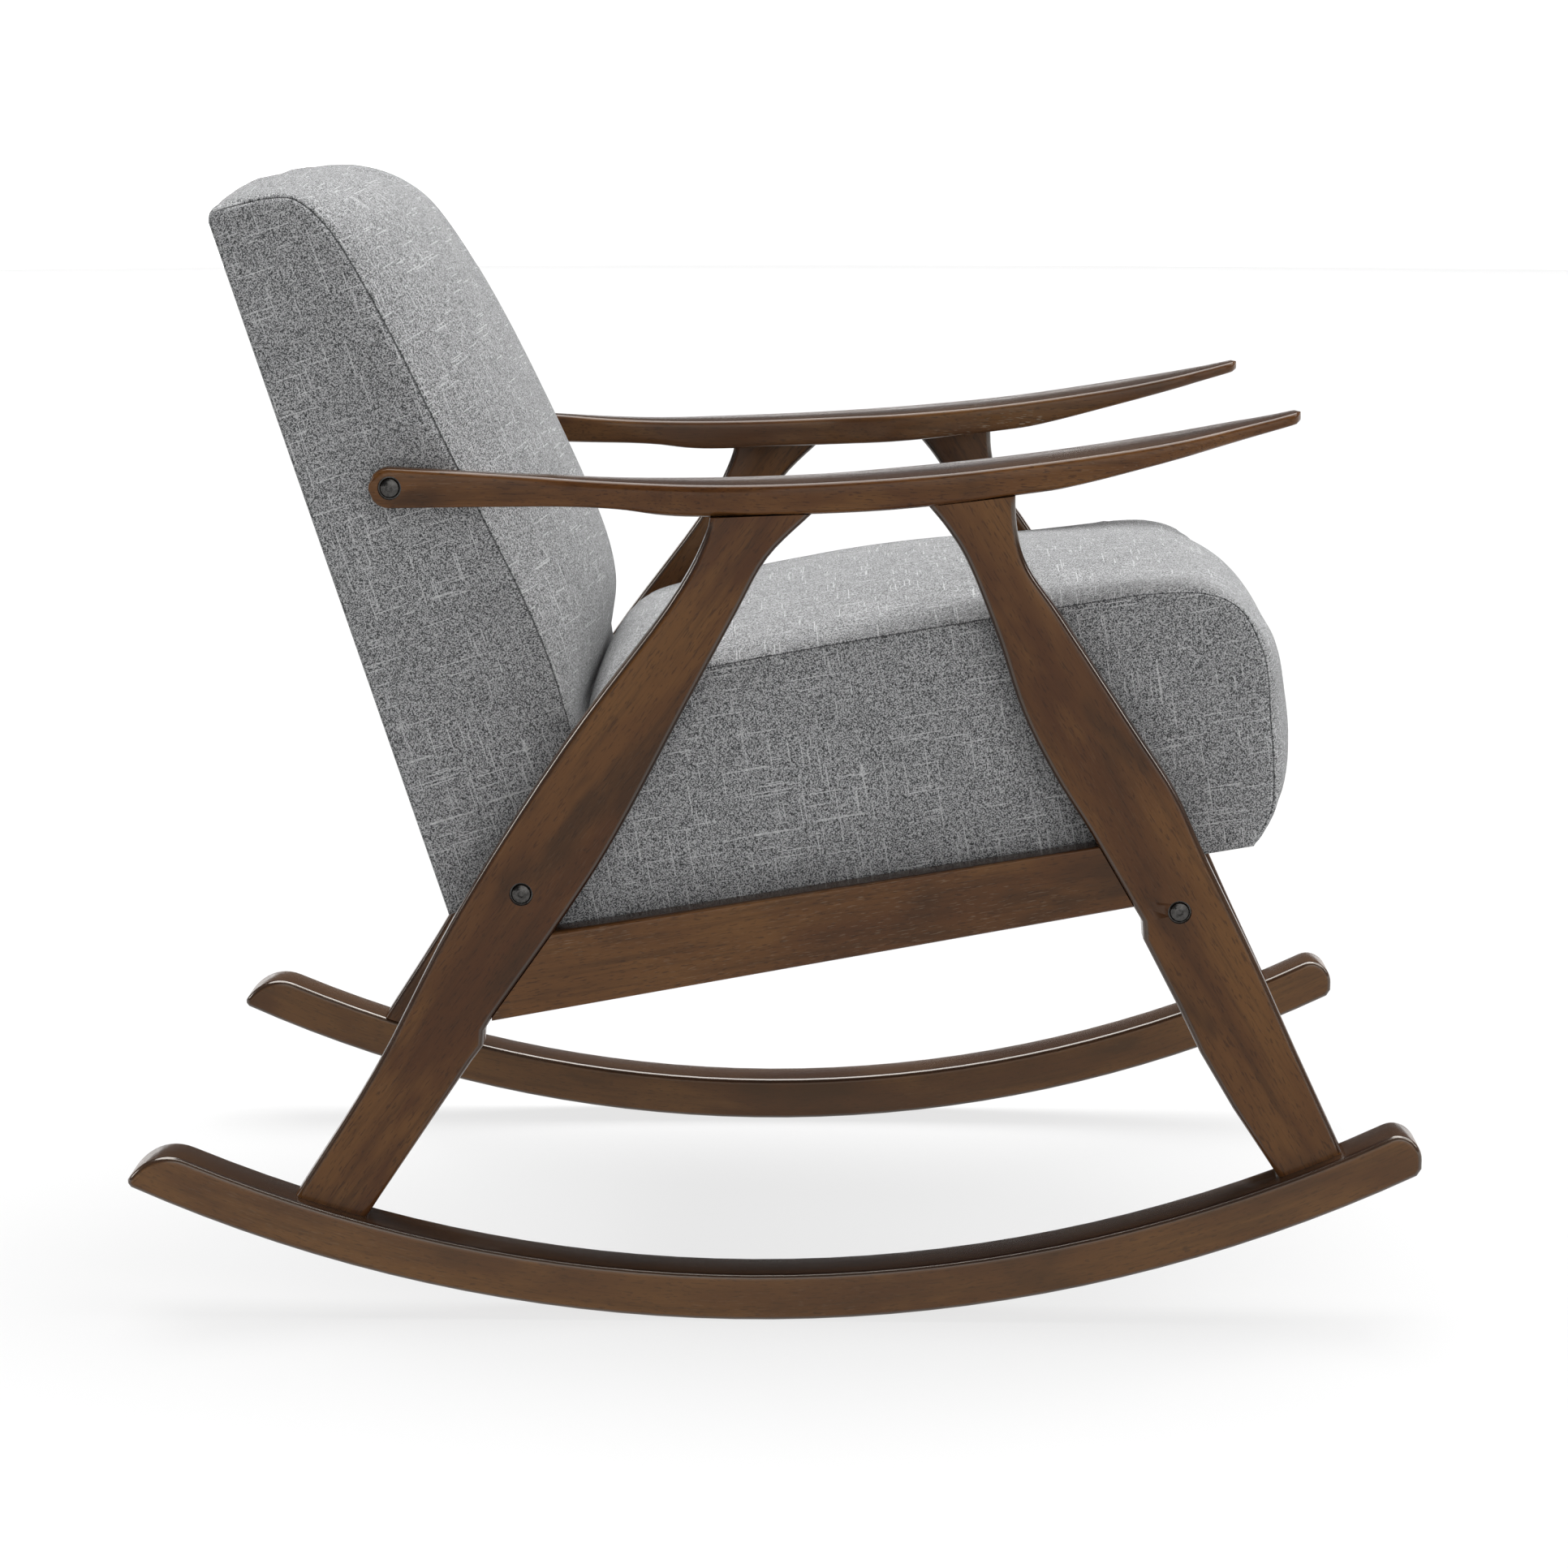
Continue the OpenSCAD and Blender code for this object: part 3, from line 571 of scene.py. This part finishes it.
def inward(loop):
    """Unit normals that point into an anticlockwise loop."""
    step = np.roll(loop, -1, 0) - np.roll(loop, 1, 0)
    step /= np.linalg.norm(step, axis=1)[:, None]
    return np.stack([-step[:, 1], step[:, 0]], 1)


# The section through a seam, on the band's side and then on the side panel's: distance in from the side plane
# and depth below the band, in mm, and how much painted shade darkens the seam's groove there
SEAM = ((9.0, 0.0, 0), (6.5, 0.2, 0), (4.7, 0.7, 0), (3.3, 1.4, 0), (2.9, 1.9, 0.1), (3.3, 3.0, 0.75))
SIDE_EDGE = ((2.1, 2.6, 0.1), (1.5, 2.9, 0), (0.8, 3.7, 0), (0.25, 4.6, 0), (0.0, 5.7, 0))
BAND_STATIONS = 50
PANEL_GRID = 11 * MM
PANEL_DISH = 2 * MM
PANEL_DISH_EASE = 40 * MM
HELD_DEPTH = 2 * MM
CROWN_POWER = 2.4
# The drop of the seat's front top corner on the sitter's left. It eases in along X and forward, from a place
# and over a length, and with the height above the seat's bottom.
SEAT_DROP = 9 * MM
DROP_FROM_X, DROP_OVER_X = -50 * MM, 280 * MM
DROP_FROM_FORWARD, DROP_OVER_FORWARD = 80 * MM, 240 * MM
DROP_HEIGHT = 200 * MM


def inside_points(loop, grid, margin):
    """Grid points inside the loop, at least margin away from it."""
    low, high = loop.min(0), loop.max(0)
    edges = list(zip(loop, np.roll(loop, -1, 0)))
    found = []
    for row, u in enumerate(np.arange(low[1], high[1], grid)):
        for f in np.arange(low[0] + (row % 2) * grid / 2, high[0], grid):
            inside, nearest = False, 1.0
            for p, q in edges:
                if (p[1] > u) != (q[1] > u) and f < (q[0] - p[0]) * (u - p[1]) / (q[1] - p[1]) + p[0]:
                    inside = not inside
                step = q - p
                t = min(1, max(0, ((f - p[0]) * step[0] + (u - p[1]) * step[1]) / max(step @ step, 1e-12)))
                nearest = min(nearest, math.hypot(f - p[0] - t * step[0], u - p[1] - t * step[1]))
            if inside and nearest > margin:
                found.append((f, u, nearest))
    return found


def smoothstep(t):
    t = np.clip(t, 0, 1)
    return t * t * (3 - 2 * t)


def corner_drop(x, forward, up):
    """How much of the full drop a point of the seat has, 0 to 1."""
    across = smoothstep((x - DROP_FROM_X) / DROP_OVER_X)
    along = smoothstep((forward - DROP_FROM_FORWARD) / DROP_OVER_FORWARD)
    return float(across * along * min(1, max(0, up / DROP_HEIGHT)))


def cushion_band(side_loop, middle_loop, half):
    """The crowned band from seam to seam: its (x, forward, up) points, the painted seam shade of each, faces
    and weave.
    """
    count = len(side_loop)
    normal = inward(side_loop)
    step = np.linalg.norm(np.roll(middle_loop, -1, 0) - middle_loop, axis=1)
    run = np.concatenate([[0], np.cumsum(step)])
    inner_x = half - SEAM[0][0] * MM
    stations = [(-half + d * MM, sink * MM, dark) for d, sink, dark in SEAM[::-1]]
    stations += [(x, 0.0, 0) for x in np.linspace(-inner_x, inner_x, BAND_STATIONS)[1:-1]]
    stations += [(half - d * MM, sink * MM, dark) for d, sink, dark in SEAM]
    points, seam, faces, weave = [], [], [], []
    for x, sink, dark in stations:
        share = 1 - abs(x / half) ** CROWN_POWER
        ring = side_loop + (middle_loop - side_loop) * share + normal * sink
        points += [(x, f, u) for f, u in ring]
        seam += [dark] * count
    for i in range(len(stations) - 1):
        x0, x1 = stations[i][0], stations[i + 1][0]
        for j in range(count):
            k = (j + 1) % count
            faces.append((i * count + j, i * count + k, (i + 1) * count + k, (i + 1) * count + j))
            weave += [(x0, run[j], 0), (x0, run[j + 1], 0), (x1, run[j + 1], 0), (x1, run[j], 0)]
    return points, seam, faces, weave


def add_side_panels(side_loop, half, points, seam, faces):
    """Closes both ends of a band, each with the rest of its seam and a panel that is dished a little."""
    count = len(side_loop)
    normal = inward(side_loop)
    edge = side_loop + normal * SIDE_EDGE[-1][1] * MM
    within = inside_points(edge, PANEL_GRID, 0.6 * PANEL_GRID)
    flat = [Vector(p) for p in edge] + [Vector(p[:2]) for p in within]
    rim = [(j, (j + 1) % count) for j in range(count)]
    triangles = delaunay_2d_cdt(flat, rim, [list(range(count))], 1, 1e-7)[2]
    for end, before in ((-1, 0), (1, len(points) - count)):
        for d, sink, dark in SIDE_EDGE:
            start = len(points)
            points += [(end * (half - d * MM), f, u) for f, u in side_loop + normal * sink * MM]
            seam += [dark] * count
            for j in range(count):
                k = (j + 1) % count
                faces.append((before + j, start + j, start + k, before + k))
            before = start
        start = len(points)
        for f, u, inset in within:
            dish = PANEL_DISH * (1 - math.exp(-inset / PANEL_DISH_EASE))
            points.append((end * (half - dish), f, u))
            seam.append(0)
        for triangle in triangles:
            faces.append([before + v if v < count else start + v - count for v in triangle])


def boxed_cushion(name, side_loop, middle_loop, half, origin, lean, drop):
    """A cushion with two side panels and a crowned band that runs round between them.

    Its front top corner on the sitter's left is lower by drop. Returns the cushion and the vertices that the
    cloth settling leaves where they are: those in the seams, on its underside and on its rear."""
    points, seam, faces, weave = cushion_band(side_loop, middle_loop, half)
    band_faces = len(faces)
    add_side_panels(side_loop, half, points, seam, faces)
    for face in faces[band_faces:]:
        weave += [(points[v][1], points[v][2], 1.0 + math.copysign(1, points[v][0])) for v in face]
    turn = Matrix.Rotation(-lean, 3, "X")
    placed = [origin + turn @ Vector((x, -f, u - drop * corner_drop(x, f, u))) for x, f, u in points]
    obj = add_mesh(name, placed, faces)
    store(obj, "weave", weave, "CORNER")
    store_value(obj, "seam", seam)
    fix_normals(obj)
    rear = min(f for x, f, u in points)
    held = [i for i, (x, f, u) in enumerate(points) if seam[i] > 0 or u < HELD_DEPTH or f < rear + HELD_DEPTH]
    return obj, held


SETTLE_FRAMES = 14
SETTLE_REACH = 3 * MM
# Within this of the side planes a point counts as on a side panel, and moves along X by this share
PANEL_DEPTH = 12 * MM
PANEL_SHARE = 0.25


def settle(obj, held, panel_x):
    """Lets the cover settle as cloth under the filling's pressure between its held seams.

    Nothing moves by more than SETTLE_REACH. The side panels lie past panel_x, and bulge less."""
    before = coordinates(obj)
    obj.vertex_groups.new(name="held").add(held, 1.0, "REPLACE")
    cloth = obj.modifiers.new("settle", "CLOTH")
    cloth.settings.quality = 6
    cloth.settings.mass = 0.25
    cloth.settings.tension_stiffness = 12
    cloth.settings.compression_stiffness = 12
    cloth.settings.shear_stiffness = 6
    cloth.settings.bending_stiffness = 0.3
    cloth.settings.use_pressure = True
    cloth.settings.uniform_pressure_force = 4
    cloth.settings.effector_weights.gravity = 0
    cloth.settings.shrink_min = -0.007
    cloth.settings.vertex_group_mass = "held"
    cloth.collision_settings.use_collision = False
    cloth.point_cache.frame_end = SETTLE_FRAMES
    for number in range(1, SETTLE_FRAMES + 1):
        bpy.context.scene.frame_set(number)
    found = obj.evaluated_get(bpy.context.evaluated_depsgraph_get())
    after = np.zeros(before.size)
    found.data.vertices.foreach_get("co", after)
    obj.modifiers.clear()
    bpy.context.scene.frame_set(1)
    shift = after.reshape(-1, 3) - before
    sideways = np.where(np.abs(before[:, 0]) > panel_x, PANEL_SHARE, 1)
    shift[:, 0] = np.clip(shift[:, 0], -SETTLE_REACH, SETTLE_REACH) * sideways
    size = np.linalg.norm(shift, axis=1)
    shift *= (SETTLE_REACH * np.tanh(size / SETTLE_REACH) / np.maximum(size, 1e-9))[:, None]
    obj.data.vertices.foreach_set("co", (before + shift).ravel())
    obj.data.update()
    obj.vertex_groups.clear()


def make_cushion(name, node, side, middle, steps, half, origin, lean, drop):
    obj, held = boxed_cushion(name, outline(side, steps), outline(middle, steps), half, origin, lean, drop)
    settle(obj, held, half - PANEL_DEPTH)
    shade_smooth(obj, sharp_above=62)
    finished(obj, LINEN, "grey_linen", node)


# Outlines of the cushions in millimetres, forward and up in their own frames, at the seam and at the middle.
# The steps say how many pieces each stretch between two points is cut into, one number for each run.
SEAT_REAR = [(-116, 150), (-124, 128), (-140, 104), (-200, 74)]
SEAT_SIDE = [
    [(-200, 0), (130, 0), (384, 0)],
    [(384, 0), (404, 26), (411, 61), (414, 98), (417, 130), (415, 155), (403, 186), (376, 203), (330, 210)],
    [(330, 210), (200, 211), (70, 211), (-40, 208), (-85, 200), (-108, 178), (-116, 150)],
    SEAT_REAR,
    [(-200, 74), (-200, 0)]]
SEAT_MIDDLE = [
    [(-200, 0), (130, 0), (401, 0)],
    [(401, 0), (425, 20), (436, 61), (438, 98), (437, 134), (430, 164), (414, 189), (388, 204), (340, 214)],
    [(340, 214), (200, 230), (70, 230), (-40, 224), (-82, 214), (-106, 188), (-116, 150)],
    SEAT_REAR,
    [(-200, 74), (-200, 0)]]
SEAT_STEPS = (25, 8, 8, 4, 7)
BACK_FOOT = [
    [(-2, 0), (34, 0)],
    [(34, 0), (41, 24), (75, 36), (108, 46), (122, 66), (133, 88), (138, 115)]]
BACK_SIDE = BACK_FOOT + [
    [(138, 115), (139, 150), (138, 185), (133, 235), (119, 330), (106, 427), (92, 505), (81, 540), (66, 561),
     (45, 568)],
    [(45, 568), (22, 570), (4, 570), (-2, 562)],
    [(-2, 562), (-2, 0)]]
BACK_MIDDLE = BACK_FOOT + [
    [(138, 115), (160, 150), (175, 185), (178, 240), (167, 345), (152, 440), (132, 515), (112, 548),
     (85, 569), (52, 581)],
    [(52, 581), (24, 585), (3, 584), (-2, 575)],
    [(-2, 575), (-2, 0)]]
BACK_STEPS = (4, 3, 8, 3, 52)


def make_cushions():
    make_cushion("seat_upholstery", "seat_cover", SEAT_SIDE, SEAT_MIDDLE, SEAT_STEPS, SEAT_HALF,
                 SEAT_ORIGIN, SEAT_LEAN, SEAT_DROP)
    make_cushion("back_upholstery", "back_cover", BACK_SIDE, BACK_MIDDLE, BACK_STEPS, BACK_HALF,
                 BACK_ORIGIN, BACK_LEAN, 0)


# ---- CAD nodes that keep their shape ----

# The foam is drawn in this far, so that it stays inside the settled covers
FOAM_SHRINK = 17 * MM


def dress_cad_nodes():
    looks = {"walnut_stained_wood": WALNUT, "pale_frame_wood": FRAME_WOOD, "grey_linen": LINEN, "foam": FOAM,
             "black_cloth": BLACK_CLOTH, "dark_bolt_metal": BOLT_METAL, "zinc_plated_steel": ZINC}
    for part in frame["record"]["subparts"]:
        obj = NODES[part["node"]]
        obj.data.materials.clear()
        obj.data.materials.append(looks[part["material_slot"]])
        if part["node"].endswith("_foam"):
            weld = obj.modifiers.new("weld", "WELD")
            weld.merge_threshold = 0.01 * MM
            shrink = obj.modifiers.new("clear_of_cover", "DISPLACE")
            shrink.strength = -FOAM_SHRINK
            shrink.mid_level = 0


# ---- stage, lights and camera ----

STAGE_RADIUS = 16
STAGE_WALL = 1.5
STAGE_TOP = 8
STAGE_SIDES = 96
# Each lamp's name, the direction its light comes from, its strength and its softness in degrees
LAMPS = (
    ("key", (0.30, -0.65, 1.0), 2.6, 50),
    ("top", (0.35, 0.10, 1.0), 4.5, 50),
    ("fill", (-1.0, -0.30, 0.35), 1.5, 60),
    ("rim", (0.10, 0.90, 0.40), 0.45, 12),
    ("front_rim", (0.10, -0.90, 0.40), 0.3, 12))
WORLD_STRENGTH = 0.12


def glowing(name, tone, specular, emission):
    return Shader(name).finish(Base_Color=(tone, tone, tone), Roughness=0.9, Specular_IOR_Level=specular,
                               Emission_Color=(1, 1, 1), Emission_Strength=emission)


def add_wall(name, rim, low, high, emission):
    faces = [(i, (i + 1) % STAGE_SIDES, (i + 1) % STAGE_SIDES + STAGE_SIDES, i + STAGE_SIDES)
             for i in range(STAGE_SIDES)]
    wall = add_mesh(name, [(x, y, z) for z in (low, high) for x, y in rim], faces)
    wall.data.materials.append(glowing(name, 0.8, 0.1, emission))
    return wall


def make_stage():
    """A pale floor, a low backdrop all round it that lights the chair, and a white band above that."""
    turns = [2 * math.pi * i / STAGE_SIDES for i in range(STAGE_SIDES)]
    rim = [(STAGE_RADIUS * math.cos(q), STAGE_RADIUS * math.sin(q)) for q in turns]
    floor = add_mesh("floor", [(x, y, 0) for x, y in rim], [list(range(STAGE_SIDES))])
    floor.data.materials.append(glowing("floor", 0.12, 0.05, 0.76))
    wall = add_wall("backdrop", rim, 0, STAGE_WALL, 0.75)
    upper = add_wall("backdrop_upper", rim, STAGE_WALL, STAGE_TOP, 1.0)
    # The upper band only shows to the camera: it neither lights the chair nor blocks the lamps
    upper.visible_diffuse = False
    upper.visible_glossy = False
    upper.visible_transmission = False
    upper.visible_shadow = False


def make_lights():
    world = bpy.data.worlds.new("studio")
    world.use_nodes = True
    background = world.node_tree.nodes["Background"]
    background.inputs["Color"].default_value = (1, 1, 1, 1)
    background.inputs["Strength"].default_value = WORLD_STRENGTH
    bpy.context.scene.world = world
    bpy.context.scene.view_settings.view_transform = "Standard"
    for name, from_direction, strength, softness in LAMPS:
        data = bpy.data.lights.new(name, "SUN")
        data.energy = strength
        data.angle = math.radians(softness)
        lamp = bpy.data.objects.new(name, data)
        lamp.rotation_euler = Vector(from_direction).to_track_quat("Z", "Y").to_euler()
        bpy.context.scene.collection.objects.link(lamp)


CAMERA_PLACE = (-3.180, -0.065, 0.954)
CAMERA_AIM = (0.98307, 0.01922, -0.18224)
CAMERA_LENS = 88.7


def make_camera():
    data = bpy.data.cameras.new("camera")
    data.lens = CAMERA_LENS
    data.sensor_width = 36
    camera = bpy.data.objects.new("camera", data)
    camera.location = CAMERA_PLACE
    camera.rotation_euler = Vector(CAMERA_AIM).to_track_quat("-Z", "Y").to_euler()
    bpy.context.scene.collection.objects.link(camera)
    bpy.context.scene.camera = camera


make_camera()
make_stage()
make_lights()
dress_cad_nodes()
make_side_frames()
for side in SIDES:
    make_arm(side)
make_cushions()
